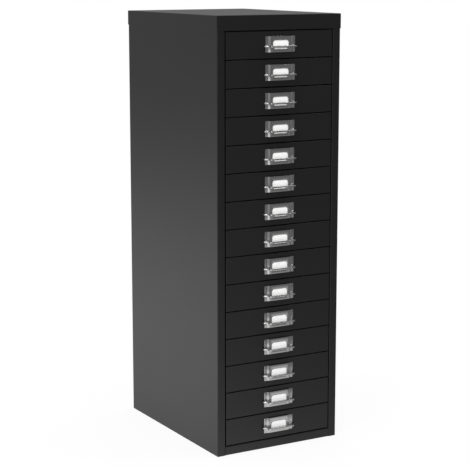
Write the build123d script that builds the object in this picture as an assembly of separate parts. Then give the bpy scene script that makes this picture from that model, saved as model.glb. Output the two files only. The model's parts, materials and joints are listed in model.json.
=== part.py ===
"""Tall multi-drawer cabinet of folded sheet steel.

Millimetres, +Z up, the drawers open towards -Y. The origin is at floor level under
the middle of the whole object, the reach of the handles included.
"""

import os

from build123d import *

# Cabinet outline, measured over the top cap and without the handles
CABINET_WIDTH = 279.0
CABINET_DEPTH = 380.0
CABINET_HEIGHT = 860.0
DRAWER_COUNT = 15

# Sheet thicknesses and the inner radii of bends
BODY_SHEET = 0.9
TRAY_SHEET = 0.8
RAIL_SHEET = 1.0
HANDLE_SHEET = 1.0
CARD_THICKNESS = 0.4
BODY_BEND = 0.8
HANDLE_BEND = 0.6

# Body: the frame around the drawers and the pieces that close it
STILE_WIDTH = 17.0
STILE_RETURN = 14.0
CAP_LIP = 29.0
CAP_EDGE_RADIUS = 1.6
BASE_RAIL_HEIGHT = 18.0
BOTTOM_FLANGE = 16.0
RUNNER_PANEL_SETBACK = 1.5

# Clearances
WELD_GAP = 0.05
CAP_GAP = 0.1
DRAWER_GAP = 2.0
RUN_GAP = 0.1
SIDE_RUN_GAP = 1.0
STOP_GAP = 0.2
LUG_GAP = 0.2

# Drawer front and tray
FRONT_PAN_DEPTH = 13.0
FRONT_EDGE_CHAMFER = 0.5
TRAY_FLOOR_RISE = 3.0
RIM_DROP = 6.0
RIM_HOOK_HEIGHT = 3.8
TRAVEL = 290.0

# Channel runners and their stops
CHANNEL_HEIGHT = 7.0
CHANNEL_LEDGE = 7.0
CHANNEL_SETBACK = 16.0
REAR_SPACE = 12.0
STOP_WIDTH = 4.5
STOP_HEIGHT = 2.3

# Handle plate, a hat section with a window; heights run down from its top edge
PLATE_WIDTH = 66.0
PLATE_HEIGHT = 30.5
PLATE_RISE = 1.0
PLATE_CORNER = 0.8
PLATE_FLANGE = 6.0
PLATE_SLOPE = 4.0
PLATE_STANDOFF = 2.2
WINDOW_WIDTH = 35.0
WINDOW_TOP = 8.0
WINDOW_BOTTOM = 21.0
WINDOW_RADIUS = 5.0
SLOT_WIDTH = 29.0
SLOT_TOP = 22.8
SLOT_HEIGHT = 2.2
CARD_MARGIN = 1.2
SHELF_WIDTH = 36.0

# Pull lip, which leaves the plate under the window and ends in a turned-down nose
LIP_REACH = 17.5
LIP_ROOT_DEPTH = 21.5
LIP_RIM_DEPTH = 17.6
LIP_ROOT_WIDTH = 74.0
NOSE_WIDTH = 55.0
NOSE_DROP = 2.8
NOSE_CORNER = 1.2
DISH_FLOOR_WIDTH = 38.0
DISH_CREASE_RADIUS = 8.0
DISH_END_DEPTH = 0.1

# Lugs that pass through the drawer front and are bent over behind it
LUG_SPREAD = 60.0
LUG_WIDTH = 5.0
LUG_LENGTH = 6.0
LUG_DEPTH = 12.0

# Planes of the body
WALL_OFFSET = BODY_SHEET + CAP_GAP
HALF_WIDTH = CABINET_WIDTH / 2 - WALL_OFFSET
INNER_HALF = HALF_WIDTH - BODY_SHEET - WELD_GAP
CAP_FRONT = (LIP_REACH - WALL_OFFSET - CABINET_DEPTH) / 2
FRONT = CAP_FRONT + WALL_OFFSET
RETURN_BACK = FRONT + STILE_RETURN
BACK = CAP_FRONT + CABINET_DEPTH - WALL_OFFSET
INNER_BACK = BACK - BODY_SHEET - WELD_GAP
BODY_TOP = CABINET_HEIGHT - CAP_EDGE_RADIUS
CAP_UNDERSIDE = CABINET_HEIGHT - BODY_SHEET - WELD_GAP
OPENING_HALF = HALF_WIDTH - STILE_WIDTH
OPENING_TOP = CABINET_HEIGHT - CAP_LIP
PANEL_FACE = OPENING_HALF - RUNNER_PANEL_SETBACK

# Places of the drawers, heights above each front's lower edge
PITCH = (OPENING_TOP - BASE_RAIL_HEIGHT - DRAWER_GAP) / DRAWER_COUNT
FRONT_HEIGHT = PITCH - DRAWER_GAP
FRONT_HALF = OPENING_HALF - DRAWER_GAP
RIM_TOP = FRONT_HEIGHT - RIM_DROP
CHANNEL_BACK = INNER_BACK - REAR_SPACE
CHANNEL_FRONT = FRONT + CHANNEL_SETBACK
CHANNEL_WEB = PANEL_FACE - WELD_GAP
CHANNEL_EDGE = CHANNEL_WEB - RAIL_SHEET - CHANNEL_LEDGE
CHANNEL_FLOOR = RIM_TOP - RIM_HOOK_HEIGHT - RUN_GAP
CHANNEL_ROOF = CHANNEL_FLOOR + CHANNEL_HEIGHT
STOP_EDGE = CHANNEL_EDGE + SIDE_RUN_GAP
TRAY_HALF = CHANNEL_EDGE - SIDE_RUN_GAP
RIM_HALF = CHANNEL_WEB - RAIL_SHEET - SIDE_RUN_GAP
TRAY_FRONT = FRONT + FRONT_PAN_DEPTH
TRAY_BACK = CHANNEL_BACK - RAIL_SHEET - STOP_GAP
EAR_FRONT = CHANNEL_FRONT + RAIL_SHEET + STOP_GAP + TRAVEL

# Places of the handle
PLATE_TOP = FRONT_HEIGHT / 2 + PLATE_RISE + PLATE_HEIGHT / 2
PLATE_BOTTOM = PLATE_TOP - PLATE_HEIGHT
HOLDER_HALF = PLATE_WIDTH / 2 - PLATE_FLANGE - PLATE_SLOPE
HOLDER_BACK = FRONT - PLATE_STANDOFF
NOSE_START = LIP_REACH - HANDLE_SHEET - HANDLE_BEND
LUG_HEIGHT = PLATE_TOP - LUG_DEPTH
DRAWER_FACE = Plane(origin=(0, FRONT, 0), x_dir=(1, 0, 0), z_dir=(0, -1, 0))


def block(low, high):
    """Box between its lowest and its highest corner."""
    size = [b - a for a, b in zip(low, high)]
    middle = [(a + b) / 2 for a, b in zip(low, high)]
    return Pos(*middle) * Box(*size)


def both_sides(piece):
    """A right-hand form together with its mirror image on the left."""
    return piece + mirror(piece, about=Plane.YZ)


def folded_section(skin_points, sheet, bend):
    """Section of folded sheet: an outer skin line with round bends, thickened to its left."""
    skin = FilletPolyline(*skin_points, radius=bend + sheet)
    return make_face(offset(skin, sheet, side=Side.LEFT).edges())


def square_section(skin_points, sheet):
    """Section of sheet folded sharp, thickened to the left of its outer skin line."""
    skin = Polyline(*skin_points)
    return make_face(offset(skin, sheet, kind=Kind.INTERSECTION, side=Side.LEFT).edges())


def across(section, half_length):
    """A section drawn in Y and Z, drawn out to both sides of the middle plane."""
    return extrude(Plane.YZ.offset(-half_length) * section, 2 * half_length)


def along(section, start, end):
    """A section drawn in X and Z, drawn out from one Y plane back to another."""
    plane = Plane(origin=(0, end, 0), x_dir=(1, 0, 0), z_dir=(0, -1, 0))
    return extrude(plane * section, end - start)


def casing_shell():
    """Sides, back and front stiles in one wrap, with inturned flanges to stand on."""
    plan = folded_section(
        [
            (OPENING_HALF, RETURN_BACK),
            (OPENING_HALF, FRONT),
            (HALF_WIDTH, FRONT),
            (HALF_WIDTH, BACK),
            (-HALF_WIDTH, BACK),
            (-HALF_WIDTH, FRONT),
            (-OPENING_HALF, FRONT),
            (-OPENING_HALF, RETURN_BACK),
        ],
        BODY_SHEET,
        BODY_BEND,
    )
    wrap = extrude(plan, BODY_TOP)
    mid_sheet = BODY_SHEET / 2
    side_flange = block(
        (HALF_WIDTH - BOTTOM_FLANGE, RETURN_BACK + WELD_GAP, 0),
        (HALF_WIDTH - mid_sheet, BACK - mid_sheet, BODY_SHEET),
    )
    back_flange = block(
        (mid_sheet - HALF_WIDTH, BACK - BOTTOM_FLANGE, 0),
        (HALF_WIDTH - mid_sheet, BACK - mid_sheet, BODY_SHEET),
    )
    return wrap + both_sides(side_flange) + back_flange


def top_cap():
    """Pressed lid whose lips hang outside the body."""
    lid = block(
        (-CABINET_WIDTH / 2, CAP_FRONT, OPENING_TOP),
        (CABINET_WIDTH / 2, CAP_FRONT + CABINET_DEPTH, CABINET_HEIGHT),
    )
    hollow = offset(lid, -BODY_SHEET, openings=lid.faces().sort_by(Axis.Z)[0])
    corners = lid.edges().filter_by(Axis.Z)
    upper = lid.faces().sort_by(Axis.Z)[-1].edges()
    return hollow & fillet(corners + upper, CAP_EDGE_RADIUS)


def head_rail():
    """Channel behind the cap's front lip that ties the stiles together."""
    section = square_section(
        [
            (RETURN_BACK, CAP_UNDERSIDE),
            (FRONT, CAP_UNDERSIDE),
            (FRONT, OPENING_TOP),
            (RETURN_BACK, OPENING_TOP),
        ],
        BODY_SHEET,
    )
    return across(section, OPENING_HALF - WELD_GAP)


def base_pan():
    """Raised floor panel; its front flange is the bottom rail between the stiles."""
    pan_front = RETURN_BACK + WELD_GAP
    floor = block(
        (-INNER_HALF, pan_front, BODY_SHEET + WELD_GAP),
        (INNER_HALF, INNER_BACK, BASE_RAIL_HEIGHT),
    )
    rear_corners = floor.faces().sort_by(Axis.Y)[-1].edges().filter_by(Axis.Z)
    floor = chamfer(rear_corners, BODY_BEND)
    open_faces = [floor.faces().sort_by(Axis.Z)[0], floor.faces().sort_by(Axis.Y)[0]]
    floor = offset(floor, -BODY_SHEET, openings=open_faces)
    rail = folded_section(
        [
            (pan_front + STILE_RETURN, BASE_RAIL_HEIGHT),
            (FRONT, BASE_RAIL_HEIGHT),
            (FRONT, 0),
            (RETURN_BACK, 0),
        ],
        BODY_SHEET,
        BODY_BEND,
    )
    return floor + across(rail, OPENING_HALF - WELD_GAP)


def runner_panel():
    """Right-hand upright panel that carries the runners, flanged out to the side."""
    flange_end = INNER_HALF - BODY_BEND
    plan = square_section(
        [
            (flange_end, INNER_BACK),
            (PANEL_FACE, INNER_BACK),
            (PANEL_FACE, RETURN_BACK + WELD_GAP),
            (flange_end, RETURN_BACK + WELD_GAP),
        ],
        BODY_SHEET,
    )
    foot = BASE_RAIL_HEIGHT + WELD_GAP
    return Pos(0, 0, foot) * extrude(plan, CAP_UNDERSIDE - foot)


def channel_runner():
    """Right-hand channel for the lowest drawer's rim, with its front and rear stops."""
    floor = CHANNEL_FLOOR - RAIL_SHEET
    roof = CHANNEL_ROOF + RAIL_SHEET
    section = square_section(
        [
            (CHANNEL_EDGE, floor),
            (CHANNEL_WEB, floor),
            (CHANNEL_WEB, roof),
            (CHANNEL_EDGE, roof),
        ],
        RAIL_SHEET,
    )
    channel = along(section, CHANNEL_FRONT, CHANNEL_BACK)
    front_stop = block(
        (STOP_EDGE, CHANNEL_FRONT, CHANNEL_ROOF - STOP_HEIGHT),
        (STOP_EDGE + STOP_WIDTH, CHANNEL_FRONT + RAIL_SHEET, CHANNEL_ROOF + RAIL_SHEET / 2),
    )
    rear_stop = block(
        (CHANNEL_EDGE, CHANNEL_BACK - RAIL_SHEET, CHANNEL_FLOOR),
        (CHANNEL_WEB - RAIL_SHEET, CHANNEL_BACK, CHANNEL_ROOF),
    )
    return channel + front_stop + rear_stop


def lug_places():
    """Middles of the two handle lugs in X and Z."""
    return [(-LUG_SPREAD / 2, LUG_HEIGHT), (LUG_SPREAD / 2, LUG_HEIGHT)]


def front_pan():
    """Drawer front: a shallow pan open at the back, slotted for the handle's lugs."""
    pan = block((-FRONT_HALF, FRONT, 0), (FRONT_HALF, TRAY_FRONT, FRONT_HEIGHT))
    pan = chamfer(pan.faces().sort_by(Axis.Y)[0].edges(), FRONT_EDGE_CHAMFER)
    hollow = block(
        (TRAY_SHEET - FRONT_HALF, FRONT + TRAY_SHEET, TRAY_SHEET),
        (FRONT_HALF - TRAY_SHEET, TRAY_FRONT, FRONT_HEIGHT - TRAY_SHEET),
    )
    pan -= hollow
    slot_half = HANDLE_SHEET / 2 + LUG_GAP
    slot_reach = LUG_WIDTH / 2 + LUG_GAP
    for x, z in lug_places():
        pan -= block(
            (x - slot_half, FRONT - TRAY_SHEET, z - slot_reach),
            (x + slot_half, FRONT + 2 * TRAY_SHEET, z + slot_reach),
        )
    return pan


def tray():
    """Folded tray welded behind its front pan, hung by a hooked rim along each side."""
    wall_front = TRAY_FRONT - TRAY_SHEET
    body = block((-TRAY_HALF, wall_front, TRAY_FLOOR_RISE), (TRAY_HALF, TRAY_BACK, RIM_TOP))
    body = offset(body, -TRAY_SHEET, openings=body.faces().sort_by(Axis.Z)[-1])
    inner_front = block(
        (-TRAY_HALF, wall_front, RIM_TOP), (TRAY_HALF, TRAY_FRONT, FRONT_HEIGHT - TRAY_SHEET / 2)
    )
    hook = square_section(
        [
            (RIM_HALF, RIM_TOP - RIM_HOOK_HEIGHT),
            (RIM_HALF, RIM_TOP),
            (TRAY_HALF - TRAY_SHEET, RIM_TOP),
        ],
        TRAY_SHEET,
    )
    rim = along(hook, wall_front, TRAY_BACK)
    ear = block(
        (STOP_EDGE, EAR_FRONT, RIM_TOP - TRAY_SHEET / 2),
        (STOP_EDGE + STOP_WIDTH, EAR_FRONT + TRAY_SHEET, RIM_TOP + STOP_HEIGHT),
    )
    return front_pan() + body + inner_front + both_sides(rim + ear)


def plate_point(x, depth, reach):
    """A point of the handle from its middle, its depth below the top and its reach."""
    return (x, FRONT - reach, PLATE_TOP - depth)


def handle_plate():
    """Hat-section plate with the card window, the slot under the lip and the card shelf."""
    half = PLATE_WIDTH / 2
    foot = half - PLATE_FLANGE
    plan = square_section(
        [
            (half, FRONT),
            (foot, FRONT),
            (HOLDER_HALF, HOLDER_BACK),
            (-HOLDER_HALF, HOLDER_BACK),
            (-foot, FRONT),
            (-half, FRONT),
        ],
        HANDLE_SHEET,
    )
    plate = Pos(0, 0, PLATE_BOTTOM) * extrude(plan, PLATE_HEIGHT)
    plate = chamfer(plate.edges().filter_by(Axis.Y), PLATE_CORNER)
    window_height = WINDOW_BOTTOM - WINDOW_TOP
    window = Rectangle(WINDOW_WIDTH, window_height)
    window = fillet(window.vertices().group_by(Axis.Y)[-1], WINDOW_RADIUS)
    window = Pos(0, PLATE_TOP - (WINDOW_TOP + WINDOW_BOTTOM) / 2) * window
    slot = Pos(0, PLATE_TOP - SLOT_TOP - SLOT_HEIGHT / 2) * Rectangle(SLOT_WIDTH, SLOT_HEIGHT)
    plate -= extrude(DRAWER_FACE * (window + slot), 2 * PLATE_STANDOFF)
    shelf = block(
        (-SHELF_WIDTH / 2, HOLDER_BACK - HANDLE_SHEET / 2, PLATE_BOTTOM),
        (SHELF_WIDTH / 2, FRONT, PLATE_BOTTOM + HANDLE_SHEET),
    )
    return plate + shelf


def dish():
    """Trough with softly creased sides that rises from the lip's root to its nose."""
    drop = LIP_ROOT_DEPTH - LIP_RIM_DEPTH
    root = Vector(*plate_point(0, LIP_ROOT_DEPTH, HANDLE_SHEET / 2))
    end = Vector(*plate_point(0, LIP_RIM_DEPTH + DISH_END_DEPTH, NOSE_START))
    rise = (end - root).normalized()
    floor_half = DISH_FLOOR_WIDTH / 2
    top_half = LIP_ROOT_WIDTH - floor_half
    corners = [(top_half, 2 * drop), (floor_half, 0), (-floor_half, 0), (-top_half, 2 * drop)]
    outline = FilletPolyline(*corners, radius=DISH_CREASE_RADIUS)
    section = make_face(outline + Line(corners[-1], corners[0]))
    behind = Plane(origin=root - rise * LIP_REACH, x_dir=(-1, 0, 0), z_dir=rise)
    return extrude(behind * section, 3 * LIP_REACH)


def pull_lip():
    """Level lip that tapers from the plate to a turned-down nose, dished in its middle."""
    root_reach = HANDLE_SHEET / 2
    rim_height = PLATE_TOP - LIP_RIM_DEPTH
    outline = Polyline(
        (LIP_ROOT_WIDTH / 2, FRONT - root_reach),
        (NOSE_WIDTH / 2, FRONT - NOSE_START),
        (-NOSE_WIDTH / 2, FRONT - NOSE_START),
        (-LIP_ROOT_WIDTH / 2, FRONT - root_reach),
        close=True,
    )
    outline = Pos(0, 0, rim_height) * make_face(outline)
    wings = extrude(outline, -HANDLE_SHEET)
    depth = LIP_ROOT_DEPTH - LIP_RIM_DEPTH + 2 * HANDLE_SHEET
    under_dish = extrude(outline, -depth) & (Pos(0, 0, -HANDLE_SHEET) * dish())
    nose_section = folded_section(
        [
            (FRONT - NOSE_START + HANDLE_SHEET / 2, rim_height),
            (FRONT - LIP_REACH, rim_height),
            (FRONT - LIP_REACH, rim_height - NOSE_DROP),
        ],
        HANDLE_SHEET,
        HANDLE_BEND,
    )
    nose = across(nose_section, NOSE_WIDTH / 2)
    tips = nose.faces().sort_by(Axis.Z)[0].edges().filter_by(Axis.Y)
    return wings + under_dish - dish() + chamfer(tips, NOSE_CORNER)


def lugs():
    """Two lugs on the flanges, each through its slot and bent towards the middle."""
    back = FRONT + TRAY_SHEET + LUG_GAP
    x, z = lug_places()[1]
    low, high = z - LUG_WIDTH / 2, z + LUG_WIDTH / 2
    edge = x + HANDLE_SHEET / 2
    shank = block(
        (x - HANDLE_SHEET / 2, FRONT - HANDLE_SHEET / 2, low), (edge, back + HANDLE_SHEET, high)
    )
    foot = block((edge - LUG_LENGTH, back, low), (edge, back + HANDLE_SHEET, high))
    return both_sides(shank + foot)


def handle():
    """Card holder and pull in one pressing, kept clear of the space for the card."""
    foot = PLATE_WIDTH / 2 - PLATE_FLANGE
    card_space = Polyline(
        (foot, FRONT),
        (HOLDER_HALF, HOLDER_BACK),
        (-HOLDER_HALF, HOLDER_BACK),
        (-foot, FRONT),
        close=True,
    )
    card_space = Pos(0, 0, PLATE_BOTTOM) * extrude(make_face(card_space), PLATE_HEIGHT)
    return handle_plate() + (pull_lip() - card_space) + lugs()


def card():
    """Blank card that stands on the shelf, against the back of the window."""
    half = HOLDER_HALF - CARD_MARGIN
    face = HOLDER_BACK + WELD_GAP
    return block(
        (-half, face, PLATE_BOTTOM + HANDLE_SHEET),
        (half, face + CARD_THICKNESS, PLATE_TOP - CARD_MARGIN),
    )


def drawer_levels():
    """Height of each drawer front's lower edge, from the bottom drawer up."""
    first = BASE_RAIL_HEIGHT + DRAWER_GAP
    return [first + PITCH * place for place in range(DRAWER_COUNT)]


def cabinet_pieces():
    """Every fixed piece of the body by name."""
    runner = channel_runner()
    panel = runner_panel()
    runners = [Pos(0, 0, level) * runner for level in drawer_levels()]
    return {
        "casing_shell": casing_shell(),
        "top_cap": top_cap(),
        "head_rail": head_rail(),
        "base_pan": base_pan(),
        "runner_panel_right": panel,
        "runner_panel_left": mirror(panel, about=Plane.YZ),
        "channel_runners_right": Compound(children=runners),
        "channel_runners_left": Compound(children=[mirror(r, about=Plane.YZ) for r in runners]),
    }


def drawer_pieces():
    """Tray, handle and card of every drawer by name, numbered from the top."""
    forms = {"tray": tray(), "handle": handle(), "card": card()}
    pieces = {}
    for number, level in enumerate(reversed(drawer_levels()), start=1):
        for form, solid in forms.items():
            pieces[f"drawer_{number:02d}_{form}"] = Pos(0, 0, level) * solid
    return pieces


os.makedirs("parts", exist_ok=True)
for name, piece in {**cabinet_pieces(), **drawer_pieces()}.items():
    export_step(piece, f"parts/{name}.step")
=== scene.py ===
"""Studio scene of a tall steel cabinet with a stack of shallow drawers.

Metres, +Z up, the drawers open towards -Y. The cabinet's pieces come from the frame;
this script gives them their finishes, presses the drawers' handles in full detail and
closes the joints at the ends of the bottom rail.
"""

import json
import math

import bmesh
import bpy
from mathutils import Matrix, Vector

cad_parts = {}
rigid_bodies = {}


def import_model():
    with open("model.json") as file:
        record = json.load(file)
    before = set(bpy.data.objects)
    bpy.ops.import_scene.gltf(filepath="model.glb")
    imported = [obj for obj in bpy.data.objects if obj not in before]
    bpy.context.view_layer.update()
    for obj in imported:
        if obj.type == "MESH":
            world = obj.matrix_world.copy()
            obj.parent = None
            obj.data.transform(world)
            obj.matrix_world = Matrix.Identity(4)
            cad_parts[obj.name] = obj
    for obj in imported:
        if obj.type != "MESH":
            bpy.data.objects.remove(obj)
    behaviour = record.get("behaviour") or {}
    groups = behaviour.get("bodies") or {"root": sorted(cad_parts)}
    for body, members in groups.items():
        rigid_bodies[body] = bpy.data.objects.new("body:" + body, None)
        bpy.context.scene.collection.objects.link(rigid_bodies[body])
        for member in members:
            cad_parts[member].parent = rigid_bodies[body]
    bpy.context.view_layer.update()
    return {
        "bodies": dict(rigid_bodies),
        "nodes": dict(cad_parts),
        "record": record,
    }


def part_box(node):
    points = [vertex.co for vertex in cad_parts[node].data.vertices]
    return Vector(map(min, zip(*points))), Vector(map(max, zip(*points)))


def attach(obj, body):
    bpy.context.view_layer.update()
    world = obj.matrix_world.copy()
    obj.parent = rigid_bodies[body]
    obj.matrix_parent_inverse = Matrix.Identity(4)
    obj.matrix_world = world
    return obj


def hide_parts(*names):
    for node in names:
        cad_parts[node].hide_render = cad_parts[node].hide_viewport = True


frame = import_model()

MM = 0.001

# Handle pressing in millimetres: X across, Y outwards from the drawer's face as
# negative values, and Z down from the plate's top edge as negative values
SHEET = 1.0
BEND = 0.9
EDGE_ROUNDING = 0.14
PLATE_WIDTH = 66.0
PLATE_HEIGHT = 30.5
PLATE_CORNER = 0.9
HOLDER_HALF = 23.0
HOLDER_FOOT = 27.0
STANDOFF = 2.2
SHELF_HALF = 18.0
WINDOW_HALF = 17.5
WINDOW_TOP = 8.0
WINDOW_BOTTOM = 21.0
WINDOW_RADIUS = 5.0
WINDOW_FOOT_RADIUS = 1.2
SLOT_HALF = 14.5
SLOT_TOP = 22.8
SLOT_BOTTOM = 25.0
SLOT_RADIUS = 1.0
LUG_PLACE = 30.0
LUG_LEVEL = 12.0
LUG_WIDTH = 5.0
LUG_LENGTH = 6.0
LUG_REACH = 2.0

# Pull lip: a bell from its root to its nose, with reaches from the drawer's face,
# a dish in the middle of its root and fillets up the plate at both sides of it
LIP_REACH = 17.5
LIP_LEVEL = 17.6
LIP_ROOT = 0.5
LIP_ROOT_HALF = 37.0
LIP_NECK_HALF = 29.0
LIP_BELL_REACH = 7.4
LIP_CORNER = 4.2
LIP_CUTS = 23
LIP_DISH = 3.9
DISH_HALF = 17.0
DISH_FADE = 17.0
ROOT_FILLET = 3.4
FILLET_START = 24.0
FILLET_END = 32.0
NOSE_DROP = 2.8
NOSE_BEND = 1.4
NOSE_STRIP = 1.45

# Angle behind the joint of the bottom rail and the right-hand stile, in millimetres:
# the corner of its outer faces at half height, its legs, its height, its sheet and bend
TAB_CORNER = (121.45, -179.0, 9.0)
TAB_LEG = 8.0
TAB_HEIGHT = 16.1
TAB_SHEET = 0.9
TAB_BEND = 1.7
TAB_END_RADIUS = 1.5

# Turns between two faces: above these a rim is folded, an edge is softened, a bend shows
RIM_TURN = math.radians(60)
SHARP_TURN = math.radians(50)
SMOOTH_TURN = math.radians(32)

# Camera: where it stands, its heading and its tilt below the horizon
VIEW_POINT = (-1.481, -2.578, 0.9492)
VIEW_HEADING = math.radians(29.91)
VIEW_TILT = math.radians(10.37)
LENS = 112.3

# Floor: its own colour, the share of it that the camera sees as plain white, and its
# level in mirrors, a painted pool of light that glows brightest behind the cabinet's left side
FLOOR_SIZE = 30.0
FLOOR_COLOUR = 0.8
FLOOR_WHITE = 0.9
POOL_CENTRE = (-1.3, 0.3, 0.0)
POOL_REACH = (1.3, 3.0, 1.0)
POOL_EDGE = 0.15
POOL_PEAK = 1.23
POOL_FALL = 5.0

# World: its light on the pieces, its level in mirrors, and the dimmer side in front
AMBIENT = 1.3
SIDES_LEVEL = 0.5
DIM_LEVEL = 0.12
DIM_SIDE = (0.6, -0.8, 0.0)
DIM_SPREAD = 0.8
LAMP_AIM = (0.0, 0.0, 0.4)

DRAWERS = sorted(name for name in frame["bodies"] if name.startswith("drawer_"))


class Shade:
    """A shader socket that can be used in sums, products, quotients and powers."""

    def __init__(self, finish, socket):
        self.finish = finish
        self.socket = socket

    def maths(self, operation, first, second):
        return self.finish.node("ShaderNodeMath", {"operation": operation}, {0: first, 1: second})

    def __add__(self, other):
        return self.maths("ADD", self, other)

    def __mul__(self, other):
        return self.maths("MULTIPLY", self, other)

    def __truediv__(self, other):
        return self.maths("DIVIDE", self, other)

    def __rtruediv__(self, other):
        return self.maths("DIVIDE", other, self)

    def __pow__(self, other):
        return self.maths("POWER", self, other)

    def at_least(self, other):
        return self.maths("MAXIMUM", self, other)

    __radd__ = __add__
    __rmul__ = __mul__


class Finish:
    """A node tree under construction: a material's, or the world's."""

    def __init__(self, owner):
        self.owner = owner
        owner.use_nodes = True
        self.tree = owner.node_tree
        self.tree.nodes.clear()

    def node(self, kind, settings=None, values=None, output=0):
        """Adds a node: its settings first, then the values or links of its sockets."""
        made = self.tree.nodes.new(kind)
        for key, setting in (settings or {}).items():
            setattr(made, key, setting)
        for key, value in (values or {}).items():
            if isinstance(value, Shade):
                self.tree.links.new(value.socket, made.inputs[key])
            else:
                made.inputs[key].default_value = value
        return Shade(self, made.outputs[output]) if len(made.outputs) else None

    def place(self):
        """The point on the piece in metres, in the object's own frame."""
        return self.node("ShaderNodeTexCoord", output="Object")

    def noise(self, scale, detail, stretch=(1.0, 1.0, 1.0)):
        """Soft random values from 0 to 1, with this many features to the metre."""
        at = self.node("ShaderNodeMapping", None, {"Vector": self.place(), "Scale": stretch})
        values = {"Vector": at, "Scale": scale, "Detail": detail}
        return self.node("ShaderNodeTexNoise", None, values, output="Fac")

    def blend(self, factor, first, second):
        """Colour between two colours."""
        settings = {"data_type": "RGBA"}
        return self.node("ShaderNodeMix", settings, {0: factor, 6: first, 7: second}, output=2)

    def between(self, factor, first, second):
        """Surface or light between two others."""
        return self.node("ShaderNodeMixShader", None, {0: factor, 1: first, 2: second})

    def ray(self, kind):
        """1 where a ray of this kind arrives, otherwise 0."""
        return self.node("ShaderNodeLightPath", output=f"Is {kind} Ray")

    def bump(self, height, strength, distance, normal):
        values = {"Height": height, "Strength": strength, "Distance": distance, "Normal": normal}
        return self.node("ShaderNodeBump", None, values)

    def rounded(self, radius):
        """Normal that turns softly over an edge, as paint and pressing leave it."""
        return self.node("ShaderNodeBevel", {"samples": 6}, {"Radius": radius})

    def surface(self, values):
        """Closes a material with one principled shader."""
        shader = self.node("ShaderNodeBsdfPrincipled", None, values)
        self.node("ShaderNodeOutputMaterial", None, {"Surface": shader})
        return self.owner


def new_finish(name):
    return Finish(bpy.data.materials.new(name))


def grey(level, warmth=0.0):
    """Near-neutral linear colour."""
    return (level * (1 + warmth), level, level * (1 - warmth), 1.0)


def powder_coat(name, level, roughness):
    """Black powder coat: orange peel, faint mottling and softly rounded edges."""
    paint = new_finish(name)
    mottle = paint.noise(scale=9.0, detail=3.0)
    speck = paint.noise(scale=2600.0, detail=1.0)
    peel = paint.noise(scale=1100.0, detail=2.0)
    tone = paint.blend(mottle, grey(level * 0.85), grey(level * 1.15))
    gloss = roughness - 0.02 + 0.03 * mottle + 0.02 * speck
    normal = paint.bump(peel, 0.12, 0.02 * MM, paint.rounded(0.5 * MM))
    return paint.surface(
        {"Base Color": tone, "Roughness": gloss, "Normal": normal, "IOR": 1.55}
    )


def plated_steel(name, level, roughness):
    """Satin plating over pressed steel, with fine drawn lines and cloudy wear."""
    plate = new_finish(name)
    lines = plate.noise(scale=900.0, detail=2.0, stretch=(0.15, 1.0, 1.0))
    cloud = plate.noise(scale=60.0, detail=3.0)
    tone = plate.blend(cloud, grey(level * 0.96, 0.01), grey(level * 1.03, -0.005))
    gloss = roughness - 0.03 + 0.04 * cloud + 0.03 * lines
    normal = plate.bump(lines, 0.05, 0.01 * MM, plate.rounded(0.1 * MM))
    return plate.surface(
        {"Base Color": tone, "Metallic": 1.0, "Roughness": gloss, "Normal": normal}
    )


def zinc_steel(name):
    """Zinc-plated runner steel, its spangle faint and its gloss uneven."""
    zinc = new_finish(name)
    spangle = zinc.node("ShaderNodeTexVoronoi", None, {"Vector": zinc.place(), "Scale": 160.0})
    cloud = zinc.noise(scale=40.0, detail=3.0)
    tone = zinc.blend(spangle, grey(0.38), grey(0.5, -0.01))
    gloss = 0.34 + 0.14 * cloud
    normal = zinc.bump(cloud, 0.1, 0.05 * MM, zinc.rounded(0.3 * MM))
    return zinc.surface(
        {"Base Color": tone, "Metallic": 1.0, "Roughness": gloss, "Normal": normal}
    )


def paper_card(name):
    """Blank white card with a fibrous surface."""
    card = new_finish(name)
    fibre = card.noise(scale=1800.0, detail=3.0, stretch=(0.5, 1.0, 1.0))
    cloud = card.noise(scale=120.0, detail=2.0)
    tone = card.blend(cloud, grey(0.93, 0.004), grey(0.96, 0.002))
    normal = card.bump(fibre, 0.15, 0.03 * MM, card.rounded(0.1 * MM))
    return card.surface({"Base Color": tone, "Roughness": 0.75, "Normal": normal})


FINISHES = {
    "body_paint": powder_coat("body_powder_coat", level=0.004, roughness=0.42),
    "drawer_paint": powder_coat("drawer_powder_coat", level=0.004, roughness=0.42),
    "handle_plating": plated_steel("satin_plating", level=0.66, roughness=0.2),
    "card_white": paper_card("white_card"),
    "runner_steel": zinc_steel("zinc_plating"),
}


def give_finish(piece, slot):
    """Puts one finish on every face of a piece."""
    piece.data.materials.clear()
    piece.data.materials.append(FINISHES[slot])


def dress_cad_nodes():
    """Gives each piece of the frame the finish of its slot."""
    for entry in frame["record"]["subparts"]:
        give_finish(frame["nodes"][entry["node"]], entry["material_slot"])


def start_piece(name, add, scale, **options):
    """Adds a primitive with nothing else selected, stretched along its own axes."""
    bpy.ops.object.select_all(action="DESELECT")
    add(size=1.0, **options)
    piece = bpy.context.object
    piece.name = name
    piece.scale = scale
    bpy.ops.object.transform_apply(location=True, rotation=True, scale=True)
    return piece


def select_only(piece):
    """Selects one piece and makes it the active one."""
    bpy.ops.object.select_all(action="DESELECT")
    piece.select_set(True)
    bpy.context.view_layer.objects.active = piece


def enter(piece):
    """Opens one piece in edit mode."""
    select_only(piece)
    bpy.ops.object.mode_set(mode="EDIT")


def leave():
    bpy.ops.object.mode_set(mode="OBJECT")


def pick(piece, kind, test):
    """Selects the corners or edges of a piece whose corners all pass a test."""
    bpy.ops.mesh.select_mode(type=kind)
    bpy.ops.mesh.select_all(action="DESELECT")
    mesh = bmesh.from_edit_mesh(piece.data)
    if kind == "VERT":
        chosen = [corner for corner in mesh.verts if test(corner.co)]
    else:
        chosen = [edge for edge in mesh.edges if all(test(corner.co) for corner in edge.verts)]
    for part in chosen:
        part.select_set(True)
    bmesh.update_edit_mesh(piece.data)


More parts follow.
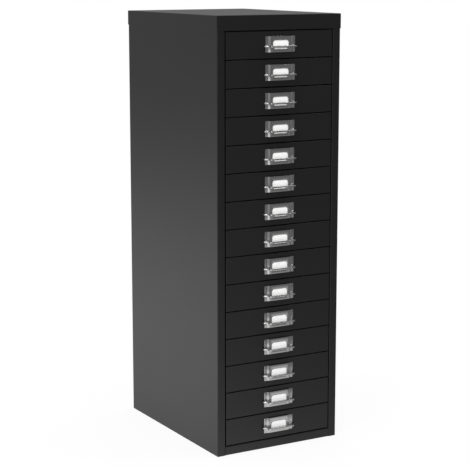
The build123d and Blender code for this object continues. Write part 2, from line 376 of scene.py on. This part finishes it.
def near(first, second, slack=0.01):
    return abs(first - second) < slack


def move(value, **options):
    """Moves what is selected."""
    bpy.ops.transform.translate(value=value, **options)


def widen(share):
    """Stretches what is selected across the handle."""
    bpy.ops.transform.resize(value=(share, 1, 1))


def draw_out(value):
    """Extrudes the selected edges by a vector."""
    bpy.ops.mesh.extrude_region_move(TRANSFORM_OT_translate={"value": value})


def modify(piece, kind, **settings):
    """Adds a modifier, sets it and applies it."""
    select_only(piece)
    modifier = piece.modifiers.new(kind.lower(), kind)
    for key, value in settings.items():
        setattr(modifier, key, value)
    bpy.ops.object.modifier_apply(modifier=modifier.name)


def thicken(piece, thickness, offset):
    """Gives a sheet its thickness, outwards for an offset of 1 and inwards for -1."""
    modify(piece, "SOLIDIFY", thickness=thickness, offset=offset, use_even_offset=True)


def combine(piece, tool, operation):
    """Joins a tool to a piece or cuts it out, and removes the tool."""
    modify(piece, "BOOLEAN", object=tool, operation=operation, solver="MANIFOLD")
    bpy.data.objects.remove(tool)


def soften_edges(piece):
    """Rounds the sheared edges of a pressing."""
    limits = {"limit_method": "ANGLE", "angle_limit": SHARP_TURN}
    modify(piece, "BEVEL", width=EDGE_ROUNDING, segments=2, **limits)


def complete(piece, slot):
    """Brings a piece from millimetres to metres, smooths its bends and finishes it."""
    piece.data.transform(Matrix.Scale(MM, 4))
    select_only(piece)
    bpy.ops.object.shade_smooth_by_angle(angle=SMOOTH_TURN)
    give_finish(piece, slot)


def fitted_copy(pattern, name, place, body):
    """Copy of a piece with a mesh of its own, moved into place on its body."""
    piece = pattern.copy()
    piece.data = pattern.data.copy()
    piece.name = name
    bpy.context.collection.objects.link(piece)
    piece.data.transform(place)
    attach(piece, body)
    return piece


def block(name, low, high):
    """Block between two corners, to be joined or cut out."""
    middle = [(a + b) / 2 for a, b in zip(low, high)]
    size = [b - a for a, b in zip(low, high)]
    return start_piece(name, bpy.ops.mesh.primitive_cube_add, size, location=middle)


def cut_opening(plate, name, half, top, bottom, top_radius, bottom_radius):
    """Cuts an opening with rounded corners through the plate."""
    cutter = block(name, (-half, -3 * STANDOFF, -bottom), (half, STANDOFF, -top))
    enter(cutter)
    for level, radius in ((-top, top_radius), (-bottom, bottom_radius)):
        for side in (-half, half):
            pick(cutter, "EDGE", lambda spot: near(spot.z, level) and near(spot.x, side))
            bpy.ops.mesh.bevel(offset=radius, segments=7)
    leave()
    combine(plate, cutter, "DIFFERENCE")


def pressed_plate():
    """Plate with a raised card holder, its bends, its window and the slot under the lip."""
    plate = start_piece(
        "plate",
        bpy.ops.mesh.primitive_plane_add,
        (PLATE_WIDTH, PLATE_HEIGHT, 1),
        location=(0, 0, -PLATE_HEIGHT / 2),
        rotation=(math.pi / 2, 0, 0),
    )
    enter(plate)
    pick(plate, "VERT", lambda spot: True)
    bpy.ops.mesh.bevel(offset=PLATE_CORNER, segments=4, affect="VERTICES")
    folds = (-HOLDER_FOOT, -HOLDER_HALF, HOLDER_HALF, HOLDER_FOOT)
    for fold in folds:
        bpy.ops.mesh.select_all(action="SELECT")
        bpy.ops.mesh.bisect(plane_co=(fold, 0, 0), plane_no=(1, 0, 0))
    pick(plate, "VERT", lambda spot: abs(spot.x) < HOLDER_HALF or near(abs(spot.x), HOLDER_HALF))
    move((0, -STANDOFF, 0))
    for fold in folds:
        pick(plate, "EDGE", lambda spot: near(spot.x, fold))
        bpy.ops.mesh.bevel(offset=BEND, segments=4)
    leave()
    thicken(plate, SHEET, 1.0)
    shelf_low = (-SHELF_HALF, -STANDOFF - SHEET / 2, -PLATE_HEIGHT)
    combine(plate, block("shelf", shelf_low, (SHELF_HALF, 0, SHEET - PLATE_HEIGHT)), "UNION")
    window_radii = (WINDOW_RADIUS, WINDOW_FOOT_RADIUS)
    cut_opening(plate, "window", WINDOW_HALF, WINDOW_TOP, WINDOW_BOTTOM, *window_radii)
    cut_opening(plate, "slot", SLOT_HALF, SLOT_TOP, SLOT_BOTTOM, SLOT_RADIUS, SLOT_RADIUS)
    return plate


def arc_drop(radius, distance):
    """How far an arc has left its tangent at a distance along that tangent."""
    along = min(max(distance, 0.0), radius)
    return radius - math.sqrt(radius**2 - along**2)


def lip_half(reach):
    """Half the lip's width at a distance from the drawer's face: a bell with round corners."""
    flare = (LIP_ROOT_HALF - LIP_NECK_HALF) / (1 + (reach / LIP_BELL_REACH) ** 4)
    return LIP_NECK_HALF + flare - arc_drop(LIP_CORNER, reach - (LIP_REACH - LIP_CORNER))


def shape_lip_rows(lip, last):
    """Gives each row of the flat strip its width, and lifts the first ones up the plate."""
    for row in range(LIP_CUTS + 2):
        reach = LIP_ROOT + row * (last - LIP_ROOT) / (LIP_CUTS + 1)
        pick(lip, "VERT", lambda spot: near(spot.y, -reach))
        widen(lip_half(reach))
        rise = arc_drop(ROOT_FILLET, ROOT_FILLET - reach)
        if rise:
            pick(
                lip,
                "VERT",
                lambda spot: near(spot.y, -reach) and FILLET_START < abs(spot.x) < FILLET_END,
            )
            move((0, 0, rise))


def fold_rim(lip, last):
    """Adds the nose's strip and turns the lip's free edges down all round."""
    pick(lip, "EDGE", lambda spot: near(spot.y, -last))
    draw_out((0, last - LIP_REACH, 0))
    widen(lip_half(LIP_REACH) / lip_half(last))
    pick(
        lip,
        "EDGE",
        lambda spot: near(abs(spot.x), lip_half(-spot.y), 0.05) or near(spot.y, -LIP_REACH),
    )
    draw_out((0, 0, -NOSE_DROP))
    bpy.ops.mesh.select_all(action="DESELECT")
    bpy.ops.mesh.edges_select_sharp(sharpness=RIM_TURN)
    bpy.ops.mesh.bevel(offset=NOSE_BEND, segments=5)


def pull_lip():
    """Bell-shaped lip with a dish drawn into its root and a turned-down rim."""
    last = LIP_REACH - NOSE_STRIP
    lip = start_piece(
        "lip",
        bpy.ops.mesh.primitive_plane_add,
        (2, last - LIP_ROOT, 1),
        location=(0, -(LIP_ROOT + last) / 2, -LIP_LEVEL),
    )
    enter(lip)
    bpy.ops.mesh.select_all(action="SELECT")
    bpy.ops.mesh.subdivide(number_cuts=LIP_CUTS)
    shape_lip_rows(lip, last)
    pick(lip, "VERT", lambda spot: near(spot.y, -LIP_ROOT) and abs(spot.x) < DISH_HALF)
    fade = {"proportional_edit_falloff": "SMOOTH", "proportional_size": DISH_FADE}
    move((0, 0, -LIP_DISH), use_proportional_edit=True, **fade)
    fold_rim(lip, last)
    leave()
    thicken(lip, SHEET, -1.0)
    return lip


def card_space():
    """Block with the shape of the space behind the holder, kept free for the card."""
    space = block(
        "card_space", (-HOLDER_FOOT, -STANDOFF, -PLATE_HEIGHT), (HOLDER_FOOT, STANDOFF, 0)
    )
    enter(space)
    pick(space, "VERT", lambda spot: near(spot.y, -STANDOFF))
    widen(HOLDER_HALF / HOLDER_FOOT)
    leave()
    return space


def add_lugs(plate):
    """Two lugs from the flanges through the drawer's front, bent inwards behind it."""
    low, high = -LUG_LEVEL - LUG_WIDTH / 2, -LUG_LEVEL + LUG_WIDTH / 2
    for side in (-1, 1):
        edges = [side * (LUG_PLACE + shift) for shift in (-SHEET / 2, SHEET / 2)]
        shank = block("shank", (min(edges), -SHEET / 2, low), (max(edges), LUG_REACH, high))
        combine(plate, shank, "UNION")
        ends = [side * (LUG_PLACE + SHEET / 2 - length) for length in (0, LUG_LENGTH)]
        foot = block("foot", (min(ends), LUG_REACH - SHEET, low), (max(ends), LUG_REACH, high))
        combine(plate, foot, "UNION")


def press_handle():
    """The whole handle, modelled once in millimetres and then brought to metres."""
    lip = pull_lip()
    combine(lip, card_space(), "DIFFERENCE")
    plate = pressed_plate()
    add_lugs(plate)
    soften_edges(plate)
    soften_edges(lip)
    combine(plate, lip, "UNION")
    complete(plate, "handle_plating")
    return plate


def fit_handles():
    """A copy of the handle on every drawer, in the place of the plain one."""
    pattern = press_handle()
    for drawer in DRAWERS:
        plain = f"{drawer}_handle"
        low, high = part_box(plain)
        place = Matrix.Translation((0, low.y + LIP_REACH * MM, high.z))
        handle = fitted_copy(pattern, f"{drawer}_pressed_handle", place, drawer)
        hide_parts(plain)
    bpy.data.objects.remove(pattern)


def folded_tab():
    """Small angle with one leg behind the bottom rail and one along the stile."""
    tab = start_piece(
        "tab",
        bpy.ops.mesh.primitive_plane_add,
        (TAB_LEG, TAB_HEIGHT, 1),
        location=(-TAB_LEG / 2, 0, 0),
        rotation=(math.pi / 2, 0, 0),
    )
    enter(tab)
    pick(tab, "EDGE", lambda spot: near(spot.x, 0))
    draw_out((0, TAB_LEG, 0))
    pick(tab, "VERT", lambda spot: near(spot.x, -TAB_LEG) or near(spot.y, TAB_LEG))
    bpy.ops.mesh.bevel(offset=TAB_END_RADIUS, segments=5, affect="VERTICES")
    pick(tab, "EDGE", lambda spot: near(spot.x, 0) and near(spot.y, 0))
    bpy.ops.mesh.bevel(offset=TAB_BEND, segments=5)
    leave()
    thicken(tab, TAB_SHEET, -1.0)
    soften_edges(tab)
    complete(tab, "body_paint")
    return tab


def fit_tabs():
    """The tab behind both ends of the bottom rail, on the left a quarter turn round."""
    pattern = folded_tab()
    across, front, level = (length * MM for length in TAB_CORNER)
    for name, side, turn in (("rail_tab_right", 1, 0), ("rail_tab_left", -1, -math.pi / 2)):
        corner = Matrix.Translation((side * across, front, level))
        place = corner @ Matrix.Rotation(turn, 4, "Z")
        fitted_copy(pattern, name, place, "cabinet")
    bpy.data.objects.remove(pattern)


def pale_floor():
    """Floor that is white for the camera, keeps the soft shadow and in mirrors glows with a
    painted pool of light that fades outwards.
    """
    bpy.ops.object.select_all(action="DESELECT")
    bpy.ops.mesh.primitive_plane_add(size=FLOOR_SIZE, location=(0, 0, 0))
    floor = bpy.context.object
    floor.name = "floor"
    pale = new_finish("pale_floor")

    def glow(strength):
        values = {"Color": grey(1.0), "Strength": strength}
        return pale.node("ShaderNodeEmission", None, values)

    centred = {"Vector": pale.place(), "Location": POOL_CENTRE, "Scale": POOL_REACH}
    offset = pale.node("ShaderNodeMapping", {"vector_type": "TEXTURE"}, centred)
    away = pale.node("ShaderNodeVectorMath", {"operation": "LENGTH"}, {0: offset}, output="Value")
    # Painted pool of light: in mirrors the floor glows brightest around the pool's centre and
    # fades to the edge level away from it
    painted_light_pool = pale.between(1.0 / (1.0 + away**POOL_FALL), glow(POOL_EDGE), glow(POOL_PEAK))
    lit = pale.node("ShaderNodeBsdfDiffuse", None, {"Color": grey(FLOOR_COLOUR)})
    for_camera = pale.between(FLOOR_WHITE, lit, glow(1.0))
    plain = pale.between(pale.ray("Camera"), lit, for_camera)
    whole = pale.between(pale.ray("Glossy") + pale.ray("Transmission"), plain, painted_light_pool)
    pale.node("ShaderNodeOutputMaterial", None, {"Surface": whole})
    floor.data.materials.append(pale.owner)


def surroundings():
    """World that is white for the camera, lights the pieces evenly and is dim in mirrors."""
    world = bpy.data.worlds.new("studio")
    bpy.context.scene.world = world
    air = Finish(world)

    def glow(strength):
        values = {"Color": grey(1.0), "Strength": strength}
        return air.node("ShaderNodeBackground", None, values)

    ways = {0: air.node("ShaderNodeTexCoord", output="Generated"), 1: DIM_SIDE}
    facing = air.node("ShaderNodeVectorMath", {"operation": "DOT_PRODUCT"}, ways, output="Value")
    in_front = facing.at_least(0.0) ** DIM_SPREAD
    mirrored = air.between(in_front, glow(SIDES_LEVEL), glow(DIM_LEVEL))
    light = air.between(air.ray("Glossy"), glow(AMBIENT), mirrored)
    whole = air.between(air.ray("Camera") + air.ray("Transmission"), light, glow(1.0))
    air.node("ShaderNodeOutputWorld", None, {"Surface": whole})


def soft_light(name, place, size, power):
    """Square area lamp at a place, turned towards the cabinet."""
    bpy.ops.object.light_add(type="AREA", location=place)
    lamp = bpy.context.object
    lamp.name = name
    lamp.data.shape = "SQUARE"
    lamp.data.size = size
    lamp.data.energy = power
    lamp.rotation_euler = (Vector(LAMP_AIM) - Vector(place)).to_track_quat("-Z", "Y").to_euler()


def camera():
    """Camera at the photograph's view: heading to the right of +Y, tilted down."""
    level = math.cos(VIEW_TILT)
    ahead = Vector(
        (math.sin(VIEW_HEADING) * level, math.cos(VIEW_HEADING) * level, -math.sin(VIEW_TILT))
    )
    bpy.ops.object.camera_add(location=VIEW_POINT)
    view = bpy.context.object
    view.rotation_euler = ahead.to_track_quat("-Z", "Y").to_euler()
    view.data.lens = LENS
    view.data.sensor_width = 36
    bpy.context.scene.camera = view


dress_cad_nodes()
fit_handles()
fit_tabs()
pale_floor()
surroundings()
soft_light("key", place=(-2.4, -1.6, 2.8), size=0.9, power=22)
soft_light("overhead", place=(1.3, -0.9, 3.0), size=0.5, power=4)
camera()
bpy.context.scene.view_settings.view_transform = "Standard"
